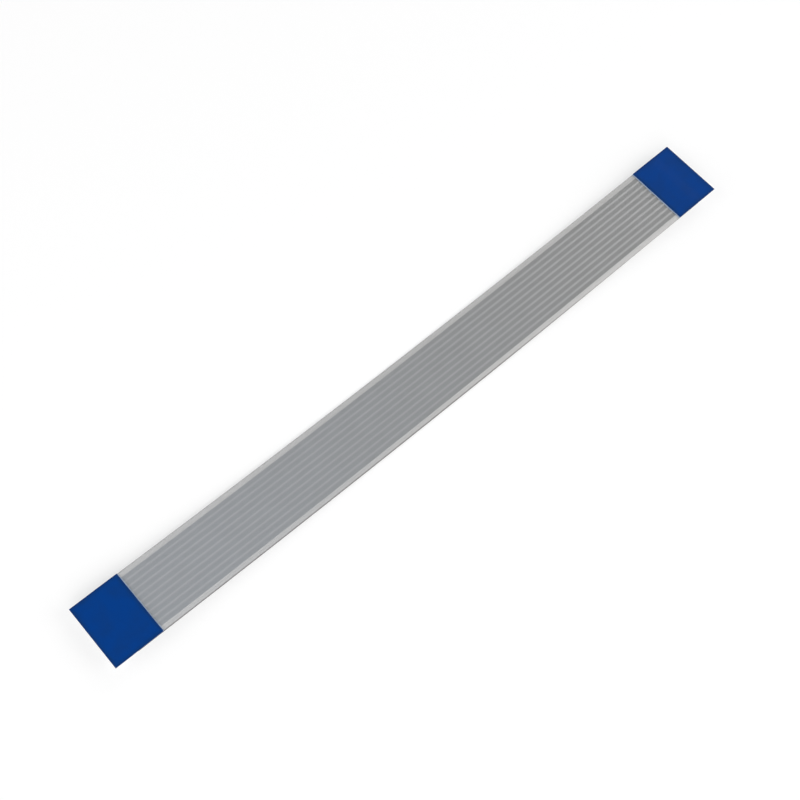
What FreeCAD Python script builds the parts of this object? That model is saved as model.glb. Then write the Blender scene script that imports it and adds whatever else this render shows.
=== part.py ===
# A flat flex cable: flat conductors laminated between two polyester films, with a support tape on each end.
# Millimetres. X runs along the cable, Y across it, Z up. The support tapes are above, the contacts below.
# The origin is on the table, under the middle of the cable, where its slight natural bow touches down.
import FreeCAD, Part
import math
import os
from FreeCAD import Rotation, Vector

# Conductors: rolled flat wires with their edges broken, side by side at the standard pitch.
conductor_count = 10
pitch = 1.0
conductor_width = 0.70
conductor_thickness = 0.10
edge_break = 0.03

# Films: each is polyester with its hot-melt, pressed round the conductors until both meet between them.
film_over_conductor = 0.06
edge_land = 0.85
gap_dip = 0.015
margin_dip = 0.030
margin_slope = 0.20

# Length: the whole cable, the bare contacts at each end, and the support tape over them.
cable_length = 127.0
contact_length = 4.0
tape_length = 8.5

# Support tape: it steps down from the film onto the bare conductors. Its adhesive shows at its inner edge.
tape_thickness = 0.175
tape_bond = 0.025
step_run = 0.80
bond_sink = 0.02
bead_run = 0.15
bead_climb = 0.06

# The cable keeps a slight set from its reel, so its free length is an arc and both ends lift off the table.
bow_radius = 1000.0

# Sizes that follow from those above. The conductors' middle plane is the level 0 of every section.
contact_top = conductor_thickness / 2
film_top = contact_top + film_over_conductor
outer_conductor = (conductor_count - 1) * pitch / 2
half_width = outer_conductor + conductor_width / 2 + edge_land
half_length = cable_length / 2
half_bow = half_length - tape_length
film_half_length = half_length - contact_length
end_angle = math.degrees(half_bow / bow_radius)
bow_centre = Vector(0, 0, film_top + bow_radius)


def swung(shape, angle):
    """The shape turned about the centre of the bow, towards +X for a positive angle in degrees."""
    moved = shape.copy()
    moved.rotate(bow_centre, Vector(0, -1, 0), angle)
    return moved


def at_left_end(shape):
    """Places a shape that is drawn from the left tip inwards along +X, on the conductors' middle plane."""
    moved = shape.copy()
    moved.translate(Vector(-tape_length, 0, film_top))
    return swung(moved, -end_angle)


def turned_round(shape):
    """The same piece at the right end: the left one, turned half round about Z."""
    moved = shape.copy()
    moved.rotate(Vector(), Vector(0, 0, 1), 180)
    return moved


def laid_along(outline, *half_spans):
    """Sweeps a section over the cable's bow, and on along its straight ends to each half span in turn."""
    section = Part.Face(outline)
    section.translate(Vector(0, 0, film_top))
    left, right = swung(section, -end_angle), swung(section, end_angle)
    bow = left.revolve(bow_centre, Vector(0, -1, 0), 2 * end_angle)
    runs = []
    reached = half_bow
    for half_span in half_spans:
        run = Vector(half_span - reached, 0, 0)
        leftwards = Rotation(Vector(0, -1, 0), -end_angle).multVec(-run)
        rightwards = Rotation(Vector(0, -1, 0), end_angle).multVec(run)
        runs += [left.extrude(leftwards), right.extrude(rightwards)]
        left, right = left.translated(leftwards), right.translated(rightwards)
        reached = half_span
    return bow.multiFuse(runs)


def conductor_centres():
    """The Y of each conductor, from the -Y edge to the +Y edge."""
    return [number * pitch - outer_conductor for number in range(conductor_count)]


def lines(points):
    """Straight edges from each (y, z) point of a section to the next."""
    corners = [Vector(0, y, z) for y, z in points]
    return [Part.LineSegment(start, end).toShape() for start, end in zip(corners, corners[1:])]


def dip(start, middle, end):
    """A round edge through three (y, z) points of a section."""
    return Part.Arc(*[Vector(0, y, z) for y, z in (start, middle, end)]).toShape()


def half_wire(centre, side):
    """Half of a conductor's section, above or below the middle plane: a flat between two broken edges."""
    edge = conductor_width / 2
    flat = edge - edge_break
    waist = side * (contact_top - edge_break)
    level = side * contact_top
    return [
        (centre - edge, 0),
        (centre - edge, waist),
        (centre - flat, level),
        (centre + flat, level),
        (centre + edge, waist),
        (centre + edge, 0),
    ]


def conductor(centre):
    """One flat wire, from tip to tip. The bare contacts at its ends are faces of their own."""
    ring = half_wire(centre, 1)[1:-1] + half_wire(centre, -1)[-2:0:-1]
    return laid_along(Part.Wire(lines(ring + ring[:1])), film_half_length, half_length)


def seat_line(side):
    """A film's inner line: it meets the other film on the middle plane and wraps half of each conductor."""
    points = [(-half_width, 0)]
    for centre in conductor_centres():
        points += half_wire(centre, side)
    return lines(points + [(half_width, 0)])


def ribbed_line(side):
    """A film's outer line: level over each conductor, lower over each gap and lowest at both margins."""
    top = side * film_top
    valley = side * (film_top - gap_dip)
    margin = side * (film_top - margin_dip)
    shoulder = outer_conductor + conductor_width / 2
    foot = shoulder + margin_slope
    edges = lines([(-half_width, margin), (-foot, margin), (-shoulder, top)])
    for centre in conductor_centres():
        start, end = centre - conductor_width / 2, centre + conductor_width / 2
        edges += lines([(start, top), (end, top)])
        if centre < outer_conductor:
            edges.append(dip((end, top), (centre + pitch / 2, valley), (start + pitch, top)))
    return edges + lines([(shoulder, top), (foot, margin), (half_width, margin)])


def film(side):
    """One film, on the tape side for 1 or the contact side for -1. It stops short of the bare contacts."""
    edges = seat_line(side) + ribbed_line(side)
    for slit in (-half_width, half_width):
        edges += lines([(slit, 0), (slit, side * (film_top - margin_dip))])
    outline = Part.Wire(Part.__sortEdges__(edges))
    return laid_along(outline, film_half_length)


def across_cable(points):
    """A solid with this (x, z) outline, as wide as the cable."""
    corners = [Vector(x, -half_width, z) for x, z in points]
    face = Part.Face(Part.makePolygon(corners + corners[:1]))
    return face.extrude(Vector(0, 2 * half_width, 0))


def support_tape():
    """The stiff tape, from its tip over the bare conductors to its inner edge on the film."""
    low = contact_top + tape_bond
    high = film_top + tape_bond
    step = contact_length - step_run
    underside = [(0, low), (step, low), (contact_length, high), (tape_length, high)]
    upper_face = [(x, z + tape_thickness) for x, z in reversed(underside)]
    return across_cable(underside + upper_face)


def tape_adhesive(laminate):
    """The left tape's adhesive, in place: it sinks between the contacts and ends in a bead on the film."""
    low = contact_top + tape_bond
    high = film_top + tape_bond
    bottom = contact_top - bond_sink
    bead_end = tape_length + bead_run
    block = across_cable([
        (0, bottom),
        (bead_end, bottom),
        (bead_end, film_top),
        (tape_length, high + bead_climb),
        (tape_length, high),
        (contact_length, high),
        (contact_length - step_run, low),
        (0, low),
    ])
    return at_left_end(block).cut(laminate)


def build():
    """Every piece of the cable by its name."""
    pieces = {"upper_film": film(1), "lower_film": film(-1)}
    for number, centre in enumerate(conductor_centres(), start=1):
        pieces[f"conductor_{number:02d}"] = conductor(centre)
    adhesive = tape_adhesive(list(pieces.values()))
    for name, shape in {"tape_adhesive": adhesive, "support_tape": at_left_end(support_tape())}.items():
        pieces[f"left_{name}"] = shape
        pieces[f"right_{name}"] = turned_round(shape)
    return pieces


os.makedirs("parts", exist_ok=True)
for name, shape in build().items():
    shape.exportStep(f"parts/{name}.step")
    print(f"{name}: {len(shape.Solids)} solid, {len(shape.Faces)} faces, {shape.Volume:.4f} cubic mm")
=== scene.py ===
"""A flat flex cable: ten flat conductors between two clear films, with a blue support tape on each end.

Lengths are in metres. X runs along the cable, Y across it and Z up. The origin is on the floor, under
the cable's middle. A height within the cable is measured from the middle plane of its conductors.
"""
import logging
import math
from collections.abc import Mapping, Sequence
from dataclasses import dataclass
from enum import Enum
from typing import Any

import bpy
import numpy as np
from bpy.types import Material, Node, NodeSocket, NodeTree, Object
from mathutils import Matrix, Vector


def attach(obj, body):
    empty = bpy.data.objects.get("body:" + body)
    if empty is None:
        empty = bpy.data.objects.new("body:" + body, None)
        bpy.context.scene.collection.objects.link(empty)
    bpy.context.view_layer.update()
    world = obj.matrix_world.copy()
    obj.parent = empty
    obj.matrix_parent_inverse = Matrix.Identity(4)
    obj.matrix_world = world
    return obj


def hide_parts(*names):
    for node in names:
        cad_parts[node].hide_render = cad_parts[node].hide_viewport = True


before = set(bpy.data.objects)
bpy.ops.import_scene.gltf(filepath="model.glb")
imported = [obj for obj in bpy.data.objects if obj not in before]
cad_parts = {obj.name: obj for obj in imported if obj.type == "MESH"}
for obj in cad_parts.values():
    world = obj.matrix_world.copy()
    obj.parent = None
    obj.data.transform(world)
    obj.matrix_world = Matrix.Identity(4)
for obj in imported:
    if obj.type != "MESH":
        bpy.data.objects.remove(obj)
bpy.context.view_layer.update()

MM = 0.001
BODY = "root"
WHITE = (1.0, 1.0, 1.0)
BLACK = (0.0, 0.0, 0.0)
# Most values of a noise lie between these two.
NOISE_MIDDLE = (0.3, 0.7)
# Shading is smooth across an edge that turns less than this.
SHARP_ANGLE = math.radians(30)

Triple = tuple[float, float, float]
Span = tuple[float, float]
# What a node takes: a number or a colour, or the output of another node.
Value = float | NodeSocket
Colour = Triple | NodeSocket

log = logging.getLogger("flat_flex_cable")


class Side(Enum):
    """The cable's two faces: its tapes are on the upper one, its bare contacts on the lower one."""

    UPPER = 1
    LOWER = -1


class End(Enum):
    """The cable's two ends, by the sign of their X."""

    LEFT = -1
    RIGHT = 1


class Skin(Enum):
    """The four parts of a slab's surface, each with a finish of its own."""

    UPPER = 0
    LOWER = 1
    SIDES = 2
    ENDS = 3


class Slot(Enum):
    """The record's materials."""

    FILM = "film"
    TINNED_COPPER = "tinned_copper"
    BLUE_TAPE = "blue_tape"
    TAPE_ADHESIVE = "tape_adhesive"


class Course(Enum):
    """How a value runs from one end of its range to the other."""

    GENTLE = "SMOOTHSTEP"
    STRAIGHT = "LINEAR"


class Share(Enum):
    """The shares, from 0 to 1, that a mesh holds at its points for its finish."""

    IN_GAP = "gap_shade"
    OVER_GAP = "over_gap"
    IN_MARGIN = "margin_shade"
    AT_SLIT = "slit_shade"
    NEAR_RIM = "rim"
    IN_BEAD = "bead"


def word(option: Enum) -> str:
    """The word for a side or an end in the names of pieces."""
    return option.name.lower()


def eased(share: np.ndarray) -> np.ndarray:
    """A share from 0 to 1 that starts and ends gently, and stays level outside that range."""
    held = np.clip(share, 0.0, 1.0)
    return held * held * (3 - 2 * held)


@dataclass(frozen=True)
class CableSizes:
    """The sizes that the cable's pieces share."""

    conductor_count: int = 10
    pitch: float = 1.00 * MM
    conductor_width: float = 0.70 * MM
    conductor_thickness: float = 0.10 * MM
    edge_break: float = 0.03 * MM
    film_over_conductor: float = 0.06 * MM
    edge_land: float = 0.85 * MM
    length: float = 127.0 * MM
    contact_length: float = 4.0 * MM
    tape_length: float = 8.5 * MM
    # The play between two faces that are seated on each other.
    hair: float = 0.002 * MM
    # How far in from a cut edge the film's painted shade reaches.
    slit_reach: float = 0.22 * MM

    @property
    def contact_top(self) -> float:
        """The height of a conductor's upper face."""
        return self.conductor_thickness / 2

    @property
    def film_top(self) -> float:
        """The height of the upper film over a conductor."""
        return self.contact_top + self.film_over_conductor

    @property
    def outer_centre(self) -> float:
        """The distance of the outermost conductors' centres from the cable's middle."""
        return (self.conductor_count - 1) * self.pitch / 2

    @property
    def shoulder(self) -> float:
        """The distance from the cable's middle to where its margins begin."""
        return self.outer_centre + self.conductor_width / 2

    @property
    def half_width(self) -> float:
        """Half of the cable's width."""
        return self.shoulder + self.edge_land

    @property
    def half_length(self) -> float:
        """Half of the cable's length."""
        return self.length / 2

    @property
    def film_half_length(self) -> float:
        """Half of the films' length."""
        return self.half_length - self.contact_length

    def centres(self) -> np.ndarray:
        """The Y of each conductor, from the -Y edge to the +Y edge."""
        return np.arange(self.conductor_count) * self.pitch - self.outer_centre

    def off_centre(self, across: np.ndarray) -> np.ndarray:
        """The distance of each place across the cable from the centre of its nearest conductor."""
        return np.abs(across[..., None] - self.centres()).min(-1)


@dataclass(frozen=True)
class Ripple:
    """A faint unevenness, as two crossed trains of waves, that has the same shape each time."""

    height: float
    along: float
    across: float
    phase: float
    # The second train's wave lengths next to the first one's, and the strength of both.
    second_along: float = 0.43
    second_across: float = 1.7
    shares: Span = (0.6, 0.4)

    def at(self, along: np.ndarray, across: np.ndarray) -> np.ndarray:
        """The rise at each place.

        Args:
            along: Places along the cable.
            across: Places across it.

        Returns:
            The rise above the even surface at each pair of places.
        """
        turn_along = 2 * math.pi * along / self.along
        turn_across = 2 * math.pi * across / self.across
        first = np.sin(turn_along + self.phase) * np.cos(turn_across)
        slanted = turn_along / self.second_along + turn_across / self.second_across
        second = np.sin(slanted + 2 * self.phase)
        return self.height * (self.shares[0] * first + self.shares[1] * second)


@dataclass(frozen=True)
class Fade:
    """A share that changes gently between two places along the cable, and stays level beyond them."""

    start: float
    end: float
    start_share: float
    end_share: float

    def at(self, along: np.ndarray) -> np.ndarray:
        """The share at each place along the cable."""
        passed = eased((along - self.start) / (self.end - self.start))
        return self.start_share + (self.end_share - self.start_share) * passed


@dataclass(frozen=True)
class Noise:
    """Soft noise. Its size is the length of its features along X, Y and Z.

    Its detail is the number of its finer layers, and its roughness is how strong they are.
    """

    size: Triple
    detail: float = 3.0
    roughness: float = 0.5


@dataclass
class CableLine:
    """The cable's middle line as it lies, and the way from a place in the cable to a point in space."""

    length: float
    # The points that guide the line: the left tip, four points of the gentle bow, and the right tip.
    route: tuple[Triple, ...] = (
        (-63.459 * MM, 0.0, 2.089 * MM),
        (-41.242 * MM, 0.0, 0.866 * MM),
        (-13.751 * MM, 0.0, 0.110 * MM),
        (13.751 * MM, 0.0, 0.110 * MM),
        (41.242 * MM, 0.0, 0.866 * MM),
        (63.459 * MM, 0.0, 2.089 * MM),
    )
    steps_between_points: int = 48

    def __post_init__(self) -> None:
        """Reads the line from a spline along the route, and spreads the cable's length over it."""
        self.points = self.read_spline()
        steps = np.linalg.norm(np.diff(self.points, axis=0), axis=1)
        reached = np.concatenate([[0.0], np.cumsum(steps)])
        self.stations = (reached / reached[-1] - 0.5) * self.length
        ahead = np.gradient(self.points, self.stations, axis=0)
        self.ahead = ahead / np.linalg.norm(ahead, axis=1, keepdims=True)

    def read_spline(self) -> np.ndarray:
        """Draws the smooth spline that the route guides.

        Returns:
            Its points, from the left tip to the right one.
        """
        curve = bpy.data.curves.new("cable_route", "CURVE")
        curve.dimensions = "3D"
        curve.resolution_u = self.steps_between_points
        spline = curve.splines.new("NURBS")
        spline.points.add(len(self.route) - 1)
        for point, place in zip(spline.points, self.route):
            point.co = (*place, 1.0)
        spline.order_u = 3
        spline.use_endpoint_u = True
        spline.resolution_u = self.steps_between_points
        holder = bpy.data.objects.new("cable_route", curve)
        bpy.context.scene.collection.objects.link(holder)
        mesh = bpy.data.meshes.new_from_object(holder)
        points = np.array([vertex.co for vertex in mesh.vertices], float)
        bpy.data.objects.remove(holder)
        bpy.data.meshes.remove(mesh)
        bpy.data.curves.remove(curve)
        return points

    def place(self, along: np.ndarray, across: np.ndarray, height: np.ndarray) -> np.ndarray:
        """Points in space of places in the cable.

        Args:
            along: Distances along the cable from its middle.
            across: Distances across it from its middle, to +Y.
            height: Distances from its middle plane, upwards.

        Returns:
            An array of points, with X, Y and Z last.
        """
        along, across, height = np.broadcast_arrays(along, across, height)
        x, z, ahead_x, ahead_z = (
            np.interp(along, self.stations, values[:, axis])
            for values, axis in ((self.points, 0), (self.points, 2), (self.ahead, 0), (self.ahead, 2))
        )
        return np.stack([x - height * ahead_z, across, z + height * ahead_x], -1)

    def stretch(self, half_length: float) -> np.ndarray:
        """The line's points from its middle out to half a length each way."""
        return self.points[np.abs(self.stations) <= half_length]


class Board:
    """A tree of shader nodes."""

    def __init__(self, tree: NodeTree) -> None:
        """Empties the tree of a material or of the world, to fill it anew."""
        self.tree = tree
        self.tree.nodes.clear()

    def add(self, kind: str, inputs: Mapping[str | int, Any] | None = None, **options: Any) -> Node:
        """Adds a node.

        Args:
            kind: The node's type, without the words that all types start with.
            inputs: What goes into each input, by name or number: a value, or an output of another node.
            options: The node's own settings.

        Returns:
            The node.
        """
        node = self.tree.nodes.new("ShaderNode" + kind)
        for name, value in options.items():
            setattr(node, name, value)
        for key, value in (inputs or {}).items():
            if isinstance(value, NodeSocket):
                self.tree.links.new(value, node.inputs[key])
            else:
                node.inputs[key].default_value = value
        return node

    def place(self) -> NodeSocket:
        """The place on the piece, in metres from the origin."""
        return self.add("TexCoord").outputs["Object"]

    def held(self, share: Share) -> NodeSocket:
        """A share that the mesh holds at each of its points."""
        return self.add("Attribute", attribute_name=share.value).outputs["Fac"]

    def noise(self, noise: Noise) -> NodeSocket:
        """Makes soft noise.

        Args:
            noise: What it is like.

        Returns:
            Its value, from 0 to 1.
        """
        stretch = tuple(1 / length for length in noise.size)
        scaled = self.add("VectorMath", {0: self.place(), 1: stretch}, operation="MULTIPLY").outputs[0]
        inputs = {"Vector": scaled, "Scale": 1.0, "Detail": noise.detail, "Roughness": noise.roughness}
        return self.add("TexNoise", inputs).outputs[0]

    def ranged(
        self, value: Value, source: Span, target: Span, course: Course = Course.GENTLE
    ) -> NodeSocket:
        """A value moved from one range to another, and held within it.

        Args:
            value: The value to move.
            source: The two ends of its own range.
            target: What these two become.
            course: How it runs between them.

        Returns:
            The new value.
        """
        ends = {"From Min": source[0], "From Max": source[1], "To Min": target[0], "To Max": target[1]}
        return self.add("MapRange", {"Value": value, **ends}, interpolation_type=course.value).outputs[0]

    def spread(self, noise: NodeSocket, target: Span) -> NodeSocket:
        """Noise whose usual values are spread over a range."""
        return self.ranged(noise, NOISE_MIDDLE, target)

    def faded(self, fade: Fade) -> NodeSocket:
        """A share that fades along the cable."""
        along = self.add("SeparateXYZ", {0: self.place()}).outputs["X"]
        return self.ranged(along, (fade.start, fade.end), (fade.start_share, fade.end_share))

    def plus(self, first: Value, second: Value) -> NodeSocket:
        """The sum of two shares, held between 0 and 1."""
        return self.add("Math", {0: first, 1: second}, operation="ADD", use_clamp=True).outputs[0]

    def times(self, first: Value, second: Value) -> NodeSocket:
        """The product of two shares, held between 0 and 1."""
        return self.add("Math", {0: first, 1: second}, operation="MULTIPLY", use_clamp=True).outputs[0]

    def larger(self, first: Value, second: Value) -> NodeSocket:
        """The larger of two shares, held between 0 and 1."""
        return self.add("Math", {0: first, 1: second}, operation="MAXIMUM", use_clamp=True).outputs[0]

    def mixed(self, share: Value, first: Colour, second: Colour) -> NodeSocket:
        """Mixes two colours.

        Args:
            share: How much of the second colour there is, from 0 to 1.
            first: The first colour, as three levels or an output.
            second: The second colour.

        Returns:
            The mix.
        """
        colours = [
            colour if isinstance(colour, NodeSocket) else (*colour, 1.0)
            for colour in (first, second)
        ]
        # The node has its colours at inputs 6 and 7, and their mix at output 2.
        return self.add("Mix", {0: share, 6: colours[0], 7: colours[1]}, data_type="RGBA").outputs[2]

    def bump(self, height: NodeSocket, depth: float) -> NodeSocket:
        """The way that the surface faces with a fine relief, from its height, 0 to 1, and its depth."""
        return self.add("Bump", {"Height": height, "Distance": depth, "Strength": 1.0}).outputs[0]


class MaterialBoard(Board):
    """The node tree of one material."""

    def __init__(self, name: str) -> None:
        """Starts a material.

        Args:
            name: Its name.
        """
        self.material = bpy.data.materials.new(name)
        self.material.use_nodes = True
        super().__init__(self.material.node_tree)

    def ended_in(self, shader: Node) -> Material:
        """The material, with this shader as its surface."""
        self.add("OutputMaterial", {"Surface": shader.outputs[0]})
        return self.material

    def finish(self, inputs: Mapping[str, Any]) -> Material:
        """The material, with what goes into each input of its one shader."""
        return self.ended_in(self.add("BsdfPrincipled", inputs))


@dataclass(frozen=True)
class FilmGloss:
    """The outer face of a film: clear polyester with a light haze, glossy and very slightly wavy, with a
    painted bluish reflection towards the left end, painted light over the gaps, margins paler with milky
    hot-melt and painted light, and painted shade at its cut edges.
    """

    clear: Triple = (0.347, 0.354, 0.356)
    # Painted reflection: a bluish tint that is strongest at the left end and fades out towards +X.
    painted_blue_reflection: Triple = (0.435, 0.465, 0.505)
    painted_reflection_share: Fade = Fade(-62 * MM, 50 * MM, 1.0, 0.0)
    # The margins are paler with their milky hot-melt and with painted light.
    margin: Triple = (0.66, 0.655, 0.645)
    # Painted light: the film is painted paler over the gaps, where light comes through them.
    painted_gap_light: float = 0.30
    # Painted shade: the film's cut edges are painted dark and less clear.
    slit: Triple = (0.12, 0.11, 0.11)
    slit_shade_haze: float = 0.90
    haze: Span = (0.485, 0.515)
    clouds: Noise = Noise((9 * MM, 5 * MM, 9 * MM), detail=4.0)
    waves: Noise = Noise((7 * MM, 3 * MM, 7 * MM), detail=1.0)
    wave_depth: float = 0.003 * MM
    roughness: Span = (0.285, 0.33)
    ior: float = 1.64

    def material(self) -> Material:
        """Makes the film's glossy finish.

        Returns:
            The material.
        """
        board = MaterialBoard("film_gloss")
        clouds = board.noise(self.clouds)
        at_slit = board.held(Share.AT_SLIT)
        glow = board.times(board.held(Share.OVER_GAP), self.painted_gap_light)
        colour = board.mixed(board.faded(self.painted_reflection_share), self.clear, self.painted_blue_reflection)
        colour = board.mixed(board.held(Share.IN_MARGIN), colour, self.margin)
        colour = board.mixed(glow, colour, WHITE)
        haze = board.spread(clouds, self.haze)
        return board.finish({
            "Base Color": board.mixed(at_slit, colour, self.slit),
            "Alpha": board.larger(haze, board.times(at_slit, self.slit_shade_haze)),
            "Roughness": board.spread(clouds, self.roughness),
            "IOR": self.ior,
            "Normal": board.bump(board.noise(self.waves), self.wave_depth),
        })


@dataclass(frozen=True)
class HotMelt:
    """The inner face of a film: milky hot-melt, finely mottled, and darkened with painted shade in the
    gaps between the conductors.
    """

    milk: Triple = (0.70, 0.69, 0.67)
    cloudy: Triple = (0.725, 0.715, 0.70)
    # Painted shade: the hot-melt in the gaps is painted darker and less clear.
    painted_gap_shade: Triple = (0.25, 0.255, 0.26)
    haze: Span = (0.205, 0.23)
    painted_gap_shade_haze: float = 0.45
    mottle: Noise = Noise((1.1 * MM, 0.5 * MM, 1 * MM))
    roughness: float = 0.6
    specular: float = 0.2

    def material(self) -> Material:
        """Makes the hot-melt's milky finish.

        Returns:
            The material.
        """
        board = MaterialBoard("hot_melt")
        mottle = board.noise(self.mottle)
        in_gap = board.held(Share.IN_GAP)
        milky = board.mixed(mottle, self.milk, self.cloudy)
        haze = board.spread(mottle, self.haze)
        return board.finish({
            "Base Color": board.mixed(in_gap, milky, self.painted_gap_shade),
            "Alpha": board.larger(haze, board.times(in_gap, self.painted_gap_shade_haze)),
            "Roughness": self.roughness,
            "Specular IOR Level": self.specular,
        })


@dataclass(frozen=True)
class SlitEdge:
    """The cut edge of the laminate: mostly painted dark, as painted shade for the light that enters it
    and is lost, with pale specks, and paler towards +X with a painted highlight.
    """

    dark: Triple = (0.07, 0.065, 0.065)
    pale: Triple = (0.55, 0.55, 0.55)
    # Painted highlight: the edge is painted paler towards +X, where light catches it.
    painted_highlight_share: Fade = Fade(10 * MM, 45 * MM, 0.0, 0.8)
    specks: Noise = Noise((1.6 * MM, 1 * MM, 1 * MM))
    speck_range: Span = (0.45, 0.75)
    speck_share: Span = (0.0, 0.35)
    roughness: float = 0.55

    def material(self) -> Material:
        """Makes the cut edge's finish.

        Returns:
            The material.
        """
        board = MaterialBoard("slit_edge")
        specks = board.ranged(board.noise(self.specks), self.speck_range, self.speck_share)
        share = board.plus(board.faded(self.painted_highlight_share), specks)
        return board.finish({
            "Base Color": board.mixed(share, self.dark, self.pale),
            "Roughness": self.roughness,
        })


@dataclass(frozen=True)
class TinPlate:
    """Tin-plated rolled copper: satin, with fine lines from the rolls and slightly cloudy plating."""

    bright: Triple = (0.80, 0.79, 0.77)
    dull: Triple = (0.68, 0.69, 0.70)
    lines: Noise = Noise((11 * MM, 0.05 * MM, 0.4 * MM), detail=4.0, roughness=0.6)
    line_strength: Span = (0.6, 1.4)
    line_depth: float = 0.0007 * MM
    clouds: Noise = Noise((2.4 * MM, 0.5 * MM, 1 * MM), detail=4.0)
    cloud_range: Span = (0.25, 0.75)
    roughness: Span = (0.34, 0.46)

    def material(self) -> Material:
        """Makes the conductors' finish.

        Returns:
            The material.
        """
        board = MaterialBoard("tin_plate")
        lines = board.noise(self.lines)
        clouds = board.noise(self.clouds)
        tone = board.times(lines, board.spread(clouds, self.line_strength))
        return board.finish({
            "Base Color": board.mixed(tone, self.bright, self.dull),
            "Metallic": 1.0,
            "Roughness": board.ranged(clouds, self.cloud_range, self.roughness),
            "Normal": board.bump(lines, self.line_depth),
        })


@dataclass(frozen=True)
class BlueTape:
    """The support tape: blue polyester, half matt, a little darker round its rim."""

    blue: Triple = (0.0004, 0.0450, 0.246)
    deep: Triple = (0.0030, 0.0360, 0.158)
    clouds: Noise = Noise((3 * MM, 3 * MM, 3 * MM), detail=5.0, roughness=0.6)
    unevenness: Span = (0.0, 0.40)
    grain: Noise = Noise((0.09 * MM, 0.09 * MM, 0.09 * MM))
    grain_depth: float = 0.0016 * MM
    roughness: Span = (0.36, 0.40)
    specular: float = 0.16

    def material(self) -> Material:
        """Makes the tape's finish.

        Returns:
            The material.
        """
        board = MaterialBoard("blue_tape")
        clouds = board.noise(self.clouds)
        share = board.plus(board.spread(clouds, self.unevenness), board.held(Share.NEAR_RIM))
        return board.finish({
            "Base Color": board.mixed(share, self.blue, self.deep),
            "Roughness": board.spread(clouds, self.roughness),
            "Specular IOR Level": self.specular,
            "Normal": board.bump(board.noise(self.grain), self.grain_depth),
        })


@dataclass(frozen=True)
class TapeBond:
    """The tape's adhesive: pale, half clear, with the blue of the tape in its glow."""

    pale: Triple = (0.30, 0.38, 0.51)
    paler: Triple = (0.34, 0.44, 0.58)
    # How cloudy it is under the tape, and in the bead along the tape's inner edge.
    haze: Span = (0.22, 0.85)
    lumps: Noise = Noise((0.5 * MM, 0.3 * MM, 0.5 * MM))
    lump_depth: float = 0.006 * MM
    roughness: float = 0.35

    def material(self) -> Material:
        """Makes the adhesive's finish.

        Returns:
            The material.
        """
        board = MaterialBoard("tape_bond")
        lumps = board.noise(self.lumps)
        return board.finish({
            "Base Color": board.mixed(lumps, self.pale, self.paler),
            "Alpha": board.ranged(board.held(Share.IN_BEAD), (0.0, 1.0), self.haze),
            "Roughness": self.roughness,
            "Normal": board.bump(lumps, self.lump_depth),
        })


@dataclass
class Slab:
    """A closed sheet: an upper and a lower grid of points, joined round the rim.

    Both grids have their points in rows along +X and lanes along +Y.
    """

    upper: np.ndarray
    lower: np.ndarray

    def faces(self) -> dict[Skin, np.ndarray]:
        """Joins the points into faces.

        Returns:
            Four point numbers for each face, as seen from outside, for each part of the surface.
        """
        rows, lanes = self.upper.shape[:2]
        top = np.arange(rows * lanes).reshape(rows, lanes)
        low = top + rows * lanes

        def strip(first: np.ndarray, second: np.ndarray) -> np.ndarray:
            """The faces between two lines of point numbers."""
            return np.stack([first[:-1], first[1:], second[1:], second[:-1]], -1).reshape(-1, 4)

        return {
            Skin.UPPER: strip(top[:, :-1], top[:, 1:]),
            Skin.LOWER: strip(low[:, 1:], low[:, :-1]),
            Skin.SIDES: np.concatenate([strip(low[:, 0], top[:, 0]), strip(top[:, -1], low[:, -1])]),
            Skin.ENDS: np.concatenate([strip(top[0], low[0]), strip(low[-1], top[-1])]),
        }

    def piece(self, name: str, finishes: Mapping[Skin, Material]) -> Object:
        """Makes the sheet.

        Args:
            name: Its name.
            finishes: The finish of each part of its surface.

        Returns:
            The piece.
        """
        materials = list(dict.fromkeys(finishes.values()))
        points = np.concatenate([self.upper.reshape(-1, 3), self.lower.reshape(-1, 3)])
        parts = self.faces()
        faces = np.concatenate([parts[skin] for skin in Skin])
        slots = [np.full(len(parts[skin]), materials.index(finishes[skin])) for skin in Skin]
        return solid(name, points, faces.tolist(), materials, np.concatenate(slots))


@dataclass
class Bar:
    """A closed section swept along the cable's line, with flat ends.

    Its rings of points are in order along +X, and each one runs from +Y over +Z.
    """

    rings: np.ndarray

    def piece(self, name: str, material: Material) -> Object:
        """Makes the bar.

        Args:
            name: Its name.
            material: Its finish.

        Returns:
            The piece.
        """
        count, corners = self.rings.shape[:2]
        numbers = np.arange(count * corners).reshape(count, corners)
        beside = np.roll(numbers, -1, axis=1)
        walls = np.stack([numbers[:-1], beside[:-1], beside[1:], numbers[1:]], -1).reshape(-1, 4)
        faces = walls.tolist() + [numbers[0, ::-1].tolist(), numbers[-1].tolist()]
        return solid(name, self.rings.reshape(-1, 3), faces, [material], np.zeros(len(faces)))


def solid(
    name: str,
    points: np.ndarray,
    faces: Sequence[Sequence[int]],
    materials: Sequence[Material],
    slots: np.ndarray,
) -> Object:
    """Makes a mesh piece with smooth shading that stops at its edges.

    Args:
        name: Its name.
        points: Its points.
        faces: The point numbers of each face.
        materials: Its finishes.
        slots: Which finish each face has.

    Returns:
        The piece.
    """
    mesh = bpy.data.meshes.new(name)
    mesh.from_pydata(points.tolist(), [], faces)
    for material in materials:
        mesh.materials.append(material)
    mesh.polygons.foreach_set("material_index", slots.astype(np.int32))
    mesh.shade_smooth()
    mesh.set_sharp_from_angle(angle=SHARP_ANGLE)
    mesh.update()
    piece = bpy.data.objects.new(name, mesh)
    bpy.context.scene.collection.objects.link(piece)
    return piece


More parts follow.
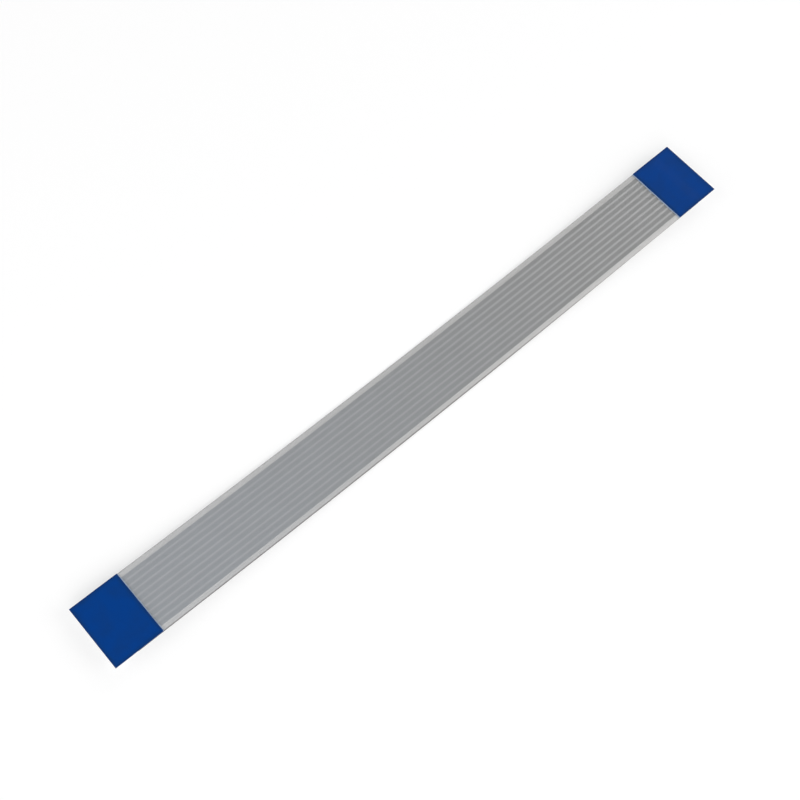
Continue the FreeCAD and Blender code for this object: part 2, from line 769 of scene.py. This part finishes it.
def store_share(piece: Object, share: Share, levels: np.ndarray) -> None:
    """Stores a share for each point of a slab, the same on its upper and its lower grid.

    Args:
        piece: The slab.
        share: Which one it is.
        levels: How large it is at each point of one grid.
    """
    attribute = piece.data.attributes.new(share.value, "FLOAT", "POINT")
    attribute.data.foreach_set("value", np.tile(levels.ravel(), 2).astype(np.float32))


def join_cable(piece: Object, node: str) -> Object:
    """Fixes a piece to the cable, in place of the solid that it stands for.

    Args:
        piece: The piece.
        node: The solid's name.

    Returns:
        The piece.
    """
    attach(piece, BODY)
    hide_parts(node)
    return piece


@dataclass(frozen=True)
class FilmShades:
    """How a film's tone varies over it, mostly painted light and shade. Its front edge is the one at -Y,
    its rear edge the one at +Y.
    """

    sizes: CableSizes
    # How much painted shade darkens the hot-melt in the gaps between the conductors, less towards +X.
    gap_shade_share: Fade = Fade(0.0, 70 * MM, 0.95, 0.45)
    # How much painted light makes the film pale over the gaps, where light comes through them, and how
    # far off a conductor's centre that begins and is full.
    painted_gap_light_share: Fade = Fade(-15 * MM, 60 * MM, 0.6, 1.0)
    pale_from: float = 0.20 * MM
    pale_to: float = 0.48 * MM
    # How pale the margins are: partly from their milky hot-melt, of which there is twice as much, and
    # partly painted light, which is strongest at the front edge towards +X.
    front_margin: Fade = Fade(-35 * MM, 15 * MM, 0.58, 1.0)
    rear_margin: float = 0.60
    # How much painted shade darkens the film at its cut edges: most at the front edge towards -X, and a
    # little at the rear.
    front_slit: Fade = Fade(10 * MM, 50 * MM, 1.0, 0.0)
    rear_slit: float = 0.25

    def over(self, along: np.ndarray, across: np.ndarray) -> dict[Share, np.ndarray]:
        """Works out the shades at each place of the film.

        Args:
            along: Places along the cable.
            across: Places across it.

        Returns:
            How large each share is at each place.
        """
        sizes = self.sizes
        off_centre = sizes.off_centre(across)
        off_middle = np.abs(across)
        front = across < 0
        ribbed = off_middle < sizes.shoulder
        in_gap = ribbed & (off_centre > sizes.conductor_width / 2)
        paleness = eased((off_centre - self.pale_from) / (self.pale_to - self.pale_from))
        milk_and_painted_light = np.where(front, self.front_margin.at(along), self.rear_margin)
        at_slit = eased(1 - (sizes.half_width - off_middle) / sizes.slit_reach)
        return {
            Share.IN_GAP: in_gap * self.gap_shade_share.at(along),
            Share.OVER_GAP: ribbed * paleness * self.painted_gap_light_share.at(along),
            Share.IN_MARGIN: (off_middle > sizes.shoulder) * milk_and_painted_light,
            Share.AT_SLIT: at_slit * np.where(front, self.front_slit.at(along), self.rear_slit),
        }


@dataclass(frozen=True)
class Laminate:
    """The two films and the ten conductors that they hold."""

    sizes: CableSizes
    line: CableLine
    gap_dip: float = 0.015 * MM
    margin_dip: float = 0.030 * MM
    margin_slope: float = 0.20 * MM
    film_ripple: Ripple = Ripple(0.003 * MM, 7.3 * MM, 4.1 * MM, 0.7)
    # The spacing of the points along the films and the conductors, and round a conductor's edge.
    film_step: float = 0.7 * MM
    conductor_step: float = 1.0 * MM
    corner_points: int = 4
    # A film's lanes of points, counted from a conductor's centre: on its flat, at its edge as shares of
    # the broken edge, at its wall as shares of the play, and beyond it.
    flat_lanes: tuple[float, ...] = (0.08 * MM, 0.22 * MM)
    edge_lanes: tuple[float, ...] = (1.0, 0.4, 0.1)
    wall_lanes: tuple[float, ...] = (-0.4, 0.4)
    gap_lanes: tuple[float, ...] = (0.04 * MM, 0.09 * MM)
    # The same in its margins, from the shoulder, and the number of lanes near its cut edge.
    margin_lanes: tuple[float, ...] = (0.14 * MM, 0.28 * MM, 0.42 * MM, 0.56 * MM)
    slit_lanes: int = 5

    def conductor_section(self) -> np.ndarray:
        """Draws a conductor's section with round edges.

        Returns:
            Its (y, height) corners, from +Y over the top.
        """
        half_width, half_height = self.sizes.conductor_width / 2, self.sizes.contact_top
        radius = self.sizes.edge_break
        corners = []
        for turn, (side, face) in enumerate(((1, 1), (-1, 1), (-1, -1), (1, -1))):
            middle = np.array([side * (half_width - radius), face * (half_height - radius)])
            angles = (turn + np.linspace(0.0, 1.0, self.corner_points)) * math.pi / 2
            corners.append(middle + radius * np.stack([np.cos(angles), np.sin(angles)], -1))
        return np.concatenate(corners)

    def conductors(self) -> list[Object]:
        """Makes the ten conductors.

        Returns:
            The pieces, from the -Y edge to the +Y edge.
        """
        finish = TinPlate().material()
        half_length = self.sizes.half_length
        along = np.linspace(-half_length, half_length, round(2 * half_length / self.conductor_step) + 1)
        section = self.conductor_section()
        pieces = []
        for number, centre in enumerate(self.sizes.centres(), start=1):
            rings = self.line.place(along[:, None], centre + section[:, 0], section[:, 1])
            piece = Bar(rings).piece(f"flat_wire_{number:02d}", finish)
            pieces.append(join_cable(piece, f"conductor_{number:02d}"))
        return pieces

    def outer_height(self, across: np.ndarray) -> np.ndarray:
        """How far a film's outer face stands from the middle plane, apart from its ripple.

        Args:
            across: Places across the cable.

        Returns:
            The distance at each place: less over the gaps, and least in the margins.
        """
        sizes = self.sizes
        half_gap = (sizes.pitch - sizes.conductor_width) / 2
        gap = self.gap_dip * eased((sizes.off_centre(across) - sizes.conductor_width / 2) / half_gap)
        margin = self.margin_dip * eased((np.abs(across) - sizes.shoulder) / self.margin_slope)
        return sizes.film_top - np.where(np.abs(across) > sizes.shoulder, margin, gap)

    def seat_height(self, across: np.ndarray) -> np.ndarray:
        """How far a film's inner face stands from the middle plane: it wraps half of each conductor.

        Args:
            across: Places across the cable.

        Returns:
            The distance at each place.
        """
        sizes = self.sizes
        off_centre = sizes.off_centre(across)
        edge = sizes.conductor_width / 2
        into_edge = np.clip(off_centre - edge + sizes.edge_break, 0.0, sizes.edge_break)
        round_edge = sizes.contact_top - sizes.edge_break + np.sqrt(sizes.edge_break**2 - into_edge**2)
        return np.where(off_centre < edge + sizes.hair, round_edge, 0.0) + sizes.hair

    def lanes(self) -> np.ndarray:
        """Picks a film's lanes of points, which are close together at the conductors' edges.

        Returns:
            Their places across the cable, from the -Y edge to the +Y edge.
        """
        sizes = self.sizes
        edge = sizes.conductor_width / 2
        half = np.concatenate([
            np.array(self.flat_lanes),
            edge - sizes.edge_break * np.array(self.edge_lanes),
            edge + sizes.hair + sizes.hair * np.array(self.wall_lanes),
            edge + np.array(self.gap_lanes),
        ])
        around = np.concatenate([-half[::-1], half])
        ribs = (sizes.centres()[:, None] + around).ravel()
        gaps = sizes.centres()[:-1] + sizes.pitch / 2
        at_slit = sizes.half_width - sizes.slit_reach * np.linspace(1.0, 0.0, self.slit_lanes)
        margin = np.concatenate([sizes.shoulder + np.array(self.margin_lanes), at_slit])
        return np.sort(np.concatenate([ribs, gaps, margin, -margin]))

    def film(self, side: Side, finishes: Mapping[Skin, Material]) -> Object:
        """Makes one film.

        Args:
            side: The face of the cable that it covers.
            finishes: The finish of each part of its surface.

        Returns:
            The piece.
        """
        half_length = self.sizes.film_half_length
        rows = round(2 * half_length / self.film_step) + 1
        along = np.linspace(-half_length, half_length, rows)[:, None]
        across = self.lanes()[None, :]
        ripple = self.film_ripple.height + self.film_ripple.at(along, across)
        outer = self.line.place(along, across, side.value * (self.outer_height(across) - ripple))
        inner = self.line.place(along, across, side.value * self.seat_height(across))
        slab = Slab(outer, inner) if side is Side.UPPER else Slab(inner, outer)
        piece = slab.piece(f"{word(side)}_clear_film", finishes)
        for share, levels in FilmShades(self.sizes).over(along, across).items():
            store_share(piece, share, levels)
        return join_cable(piece, f"{word(side)}_film")

    def films(self) -> tuple[Object, Object]:
        """Makes both films, each with its gloss outside and its hot-melt inside.

        Returns:
            The upper film and the lower one.
        """
        gloss, melt, cut = FilmGloss().material(), HotMelt().material(), SlitEdge().material()
        rim = {Skin.SIDES: cut, Skin.ENDS: cut}
        upper = self.film(Side.UPPER, {Skin.UPPER: gloss, Skin.LOWER: melt, **rim})
        lower = self.film(Side.LOWER, {Skin.UPPER: melt, Skin.LOWER: gloss, **rim})
        return upper, lower


@dataclass(frozen=True)
class TapedEnd:
    """One end of the cable: the support tape, and the adhesive that holds it."""

    sizes: CableSizes
    line: CableLine
    laminate: Laminate
    end: End
    # The tape, its step down from the film, and how much of the conductors' ribs shows through it.
    tape_thickness: float = 0.175 * MM
    step_run: float = 0.80 * MM
    bridge_run: float = 2.20 * MM
    telegraph: float = 0.25
    # The tape's rounded rim and the darker band beside it.
    rim_round: float = 0.030 * MM
    rim_points: tuple[float, ...] = (0.0, 0.07, 0.25, 0.6, 1.0)
    rim_shade: float = 0.80 * MM
    rim_shade_points: int = 4
    rim_shade_fall: float = 1.5
    # The spacing of the tape's points from tip to inner edge, and its lanes between the shaded bands.
    tape_step: float = 0.15 * MM
    tape_lanes: int = 97
    lane_gap: float = 0.1 * MM
    # The adhesive, which sinks between the contacts and stands in a bead along the tape's inner edge.
    tape_bond: float = 0.025 * MM
    bond_sink: float = 0.02 * MM
    bead_run: float = 0.15 * MM
    bead_climb: float = 0.06 * MM
    bead_fall: float = 1.6
    bead_ripple: Ripple = Ripple(0.05 * MM, 3.0 * MM, 2.3 * MM, 0.4)
    # The adhesive's points over the contacts, at the tape's step, on the film and in the bead.
    bond_step: float = 0.4 * MM
    step_points: int = 9
    film_points: int = 12
    bead_points: tuple[float, ...] = (0.0, 0.1, 0.25, 0.45, 0.7, 0.9, 1.0)

    def in_order(self, rows: np.ndarray) -> np.ndarray:
        """Rows that run from the tip inwards, put in order along +X."""
        return rows if self.end is End.LEFT else rows[::-1]

    def placed(self, from_tip: np.ndarray, across: np.ndarray, height: np.ndarray) -> np.ndarray:
        """Points in space, in rows along +X, of places that are measured from the cable's tip.

        Args:
            from_tip: Distances from the tip.
            across: Distances across the cable.
            height: Heights from its middle plane.

        Returns:
            The points.
        """
        along = self.end.value * (self.sizes.half_length - from_tip)
        return self.in_order(self.line.place(along, across, height))

    def bridged(self, from_tip: np.ndarray, run: float) -> np.ndarray:
        """The height of the tape's underside: low over the bare contacts, then up a step onto the film.

        Args:
            from_tip: Distances from the tip.
            run: The length of the step. Its middle stays in place.

        Returns:
            Heights from the cable's middle plane.
        """
        low = self.sizes.contact_top + self.tape_bond
        high = self.sizes.film_top + self.tape_bond
        step_middle = self.sizes.contact_length - self.step_run / 2
        return low + (high - low) * eased((from_tip - step_middle) / run + 0.5)

    def bond_top(self, from_tip: np.ndarray) -> np.ndarray:
        """The height of the adhesive's upper face, which is the tape's underside."""
        return self.bridged(from_tip, self.step_run)

    def tape_grid(self) -> tuple[np.ndarray, np.ndarray]:
        """Picks the places of the tape's points, close together round its rim.

        Returns:
            Distances from the tip as a column, and distances across the cable as a row.
        """
        length, half_width = self.sizes.tape_length, self.sizes.half_width
        rim = self.rim_round * np.array(self.rim_points)
        beside_rim = np.linspace(2 * self.rim_round, self.rim_shade, self.rim_shade_points)
        close = np.concatenate([rim, beside_rim])
        inside = np.arange(self.rim_shade + self.tape_step, length - self.rim_shade, self.tape_step)
        from_tip = np.concatenate([close, inside, (length - close)[::-1]])
        outermost = half_width - self.rim_shade - self.lane_gap
        lanes = np.linspace(-outermost, outermost, self.tape_lanes)
        across = np.concatenate([close - half_width, lanes, (half_width - close)[::-1]])
        return from_tip[:, None], across[None, :]

    def tape(self, finish: Material) -> Object:
        """Makes the tape.

        Args:
            finish: Its finish.

        Returns:
            The piece.
        """
        sizes = self.sizes
        from_tip, across = self.tape_grid()
        to_end = np.minimum(from_tip, sizes.tape_length - from_tip)
        to_rim = np.minimum(to_end, sizes.half_width - np.abs(across))
        over_round = self.rim_round - np.minimum(to_rim, self.rim_round)
        drop = self.rim_round - np.sqrt(self.rim_round**2 - over_round**2)
        on_ribs = np.clip(across, -sizes.shoulder, sizes.shoulder)
        ribs = self.telegraph * (self.laminate.outer_height(on_ribs) - sizes.film_top)
        top = self.bridged(from_tip, self.bridge_run) + self.tape_thickness + ribs - drop
        upper = self.placed(from_tip, across, top)
        lower = self.placed(from_tip, across, self.bond_top(from_tip))
        piece = Slab(upper, lower).piece(f"{word(self.end)}_stiffener", dict.fromkeys(Skin, finish))
        shade = (1 - eased(to_rim / self.rim_shade)) ** self.rim_shade_fall
        store_share(piece, Share.NEAR_RIM, self.in_order(shade))
        return join_cable(piece, f"{word(self.end)}_support_tape")

    def bond_bottom(self, from_tip: np.ndarray, across: np.ndarray) -> np.ndarray:
        """The height of the adhesive's underside.

        Args:
            from_tip: Distances from the tip.
            across: Distances across the cable.

        Returns:
            Heights that follow the bare contacts and sink between them, or follow the film.
        """
        sizes = self.sizes
        between = sizes.off_centre(across) > sizes.conductor_width / 2 + sizes.hair
        sunk, seated = sizes.contact_top - self.bond_sink, sizes.contact_top + sizes.hair
        over_contacts = np.where(between, sunk, seated)
        over_film = self.laminate.outer_height(across) + sizes.hair
        # This lies between the last row of points over the contacts and the first one on the film.
        film_starts = sizes.contact_length - 1.5 * sizes.hair
        return np.where(from_tip < film_starts, over_contacts, over_film)

    def adhesive(self, finish: Material) -> Object:
        """Makes the adhesive, with the bead that it has squeezed out along the tape's inner edge.

        Args:
            finish: Its finish.

        Returns:
            The piece.
        """
        sizes, hair = self.sizes, self.sizes.hair
        film_end, tape_end = sizes.contact_length, sizes.tape_length
        across = self.laminate.lanes()[None, :]
        under_tape = np.concatenate([
            np.arange(0.0, film_end - self.step_run, self.bond_step),
            np.linspace(film_end - self.step_run, film_end - 2 * hair, self.step_points),
            np.linspace(film_end - hair, tape_end, self.film_points),
        ])[:, None] + np.zeros_like(across)
        shares = np.array(self.bead_points)[:, None]
        run = self.bead_run - self.bead_ripple.at(self.end.value * sizes.half_length, across)
        from_tip = np.concatenate([under_tape, tape_end + hair + shares * run])
        bottom = self.bond_bottom(from_tip, across)
        climb = (self.tape_bond + self.bead_climb) * (1 - shares) ** self.bead_fall
        bead_top = bottom[len(under_tape):] + hair + climb
        top = np.concatenate([self.bond_top(under_tape) - hair, bead_top])
        slab = Slab(self.placed(from_tip, across, top), self.placed(from_tip, across, bottom))
        piece = slab.piece(f"{word(self.end)}_tape_bond", dict.fromkeys(Skin, finish))
        store_share(piece, Share.IN_BEAD, self.in_order(from_tip > tape_end))
        return join_cable(piece, f"{word(self.end)}_tape_adhesive")


@dataclass(frozen=True)
class Softbox:
    """A square lamp that points at the cable."""

    name: str
    direction: Triple
    power: float
    side: float = 0.7
    distance: float = 0.9
    colour: Triple = WHITE

    def place(self) -> None:
        """Makes the lamp."""
        light = bpy.data.lights.new(self.name, "AREA")
        light.size = self.side
        light.energy = self.power
        light.color = self.colour
        lamp = bpy.data.objects.new(self.name, light)
        towards = Vector(self.direction).normalized()
        lamp.location = towards * self.distance
        lamp.rotation_mode = "QUATERNION"
        lamp.rotation_quaternion = towards.to_track_quat("Z", "Y")
        bpy.context.scene.collection.objects.link(lamp)


@dataclass(frozen=True)
class Studio:
    """A white floor, soft light and a camera that looks down on the cable."""

    floor_side: float = 6.0
    floor_drop: float = 0.02 * MM
    floor_tone: float = 0.42
    floor_glow: float = 0.60
    # The floor shows shadows out to the first of these distances, and only glows from the second on.
    floor_blend: Span = (100.0 * MM, 300.0 * MM)
    # The sky's light fades between these two heights of a direction.
    sky_heights: Span = (0.1, 0.7)
    sky_light: Span = (1.0, 0.04)
    camera_place: Triple = (-66.23 * MM, -58.30 * MM, 190.01 * MM)
    camera_ahead: Triple = (0.3002, 0.2808, -0.9116)
    camera_up: Triple = (0.5904, 0.6959, 0.4088)
    nearest_view: float = 10.0 * MM
    picture_side: float = 800.0
    focal_length_in_picture: float = 1302.0
    sensor: float = 36.0
    lamps: tuple[Softbox, ...] = (
        Softbox("key_softbox", (-0.42, -0.62, 0.60), 4.9),
        Softbox("fill_softbox", (0.60, -0.62, 0.50), 3.9),
        Softbox("side_softbox", (-0.80, 0.35, 0.52), 2.7),
        Softbox("low_softbox", (0.85, 0.42, 0.40), 2.2),
        Softbox("window", (-0.04, 0.33, 0.94), 0.04, side=0.24, colour=(0.45, 0.72, 1.0)),
    )

    def floor_finish(self) -> Material:
        """Makes the floor's white, which shows shadows near the cable and glows evenly farther out.

        Returns:
            The material.
        """
        board = MaterialBoard("floor_white")
        distance = board.add("VectorMath", {0: board.place()}, operation="LENGTH").outputs["Value"]
        far = board.ranged(distance, self.floor_blend, (0.0, 1.0))
        diffuse = board.add("BsdfDiffuse", {"Color": board.mixed(far, (self.floor_tone,) * 3, BLACK)})
        rays = board.add("LightPath").outputs
        seen = board.plus(rays["Is Camera Ray"], rays["Is Glossy Ray"])
        seen = board.plus(seen, rays["Is Transmission Ray"])
        level = board.plus(board.times(far, 1 - self.floor_glow), self.floor_glow)
        glow = board.add("Emission", {"Strength": board.times(seen, level)})
        return board.ended_in(board.add("AddShader", {0: diffuse.outputs[0], 1: glow.outputs[0]}))

    def floor(self) -> None:
        """Lays the white floor, a hair below the cable."""
        half, level = self.floor_side / 2, -self.floor_drop
        corners = [(x * half, y * half, level) for x, y in ((-1, -1), (1, -1), (1, 1), (-1, 1))]
        mesh = bpy.data.meshes.new("floor")
        mesh.from_pydata(corners, [], [(0, 1, 2, 3)])
        mesh.materials.append(self.floor_finish())
        floor = bpy.data.objects.new("floor", mesh)
        bpy.context.scene.collection.objects.link(floor)

    def surroundings(self) -> None:
        """Lights the cable from all round, with the most light from the horizon. It looks all white."""
        world = bpy.data.worlds.new("studio")
        world.use_nodes = True
        board = Board(world.node_tree)
        height = board.add("SeparateXYZ", {0: board.add("TexCoord").outputs["Generated"]}).outputs["Z"]
        sky = board.ranged(height, self.sky_heights, self.sky_light, Course.STRAIGHT)
        strength = board.larger(sky, board.add("LightPath").outputs["Is Camera Ray"])
        background = board.add("Background", {"Color": (*WHITE, 1.0), "Strength": strength})
        board.add("OutputWorld", {"Surface": background.outputs[0]})
        bpy.context.scene.world = world

    def camera(self) -> None:
        """Sets up the camera."""
        data = bpy.data.cameras.new("camera")
        data.sensor_width = self.sensor
        data.lens = self.sensor * self.focal_length_in_picture / self.picture_side
        data.clip_start = self.nearest_view
        back = -Vector(self.camera_ahead).normalized()
        right = Vector(self.camera_up).cross(back).normalized()
        turn = Matrix((right, back.cross(right), back)).transposed()
        camera = bpy.data.objects.new("camera", data)
        camera.matrix_world = Matrix.Translation(self.camera_place) @ turn.to_4x4()
        bpy.context.scene.collection.objects.link(camera)
        bpy.context.scene.camera = camera

    def set_up(self) -> None:
        """Builds the studio."""
        self.camera()
        self.floor()
        self.surroundings()
        for lamp in self.lamps:
            lamp.place()
        bpy.context.scene.view_settings.view_transform = "Standard"


def main() -> None:
    """Builds the studio and the cable, and reports each of the cable's pieces."""
    logging.basicConfig(level=logging.INFO, format="%(message)s")
    sizes = CableSizes()
    line = CableLine(sizes.length)
    Studio().set_up()
    laminate = Laminate(sizes, line)
    pieces = laminate.conductors()
    upper_film, lower_film = laminate.films()
    pieces.append(lower_film)
    tape_finish, bond_finish = BlueTape().material(), TapeBond().material()
    for end in End:
        taped_end = TapedEnd(sizes, line, laminate, end)
        pieces += [taped_end.tape(tape_finish), taped_end.adhesive(bond_finish)]
    for piece in (upper_film, *pieces):
        log.info("%s: %d faces", piece.name, len(piece.data.polygons))


if __name__ == "__main__":
    main()
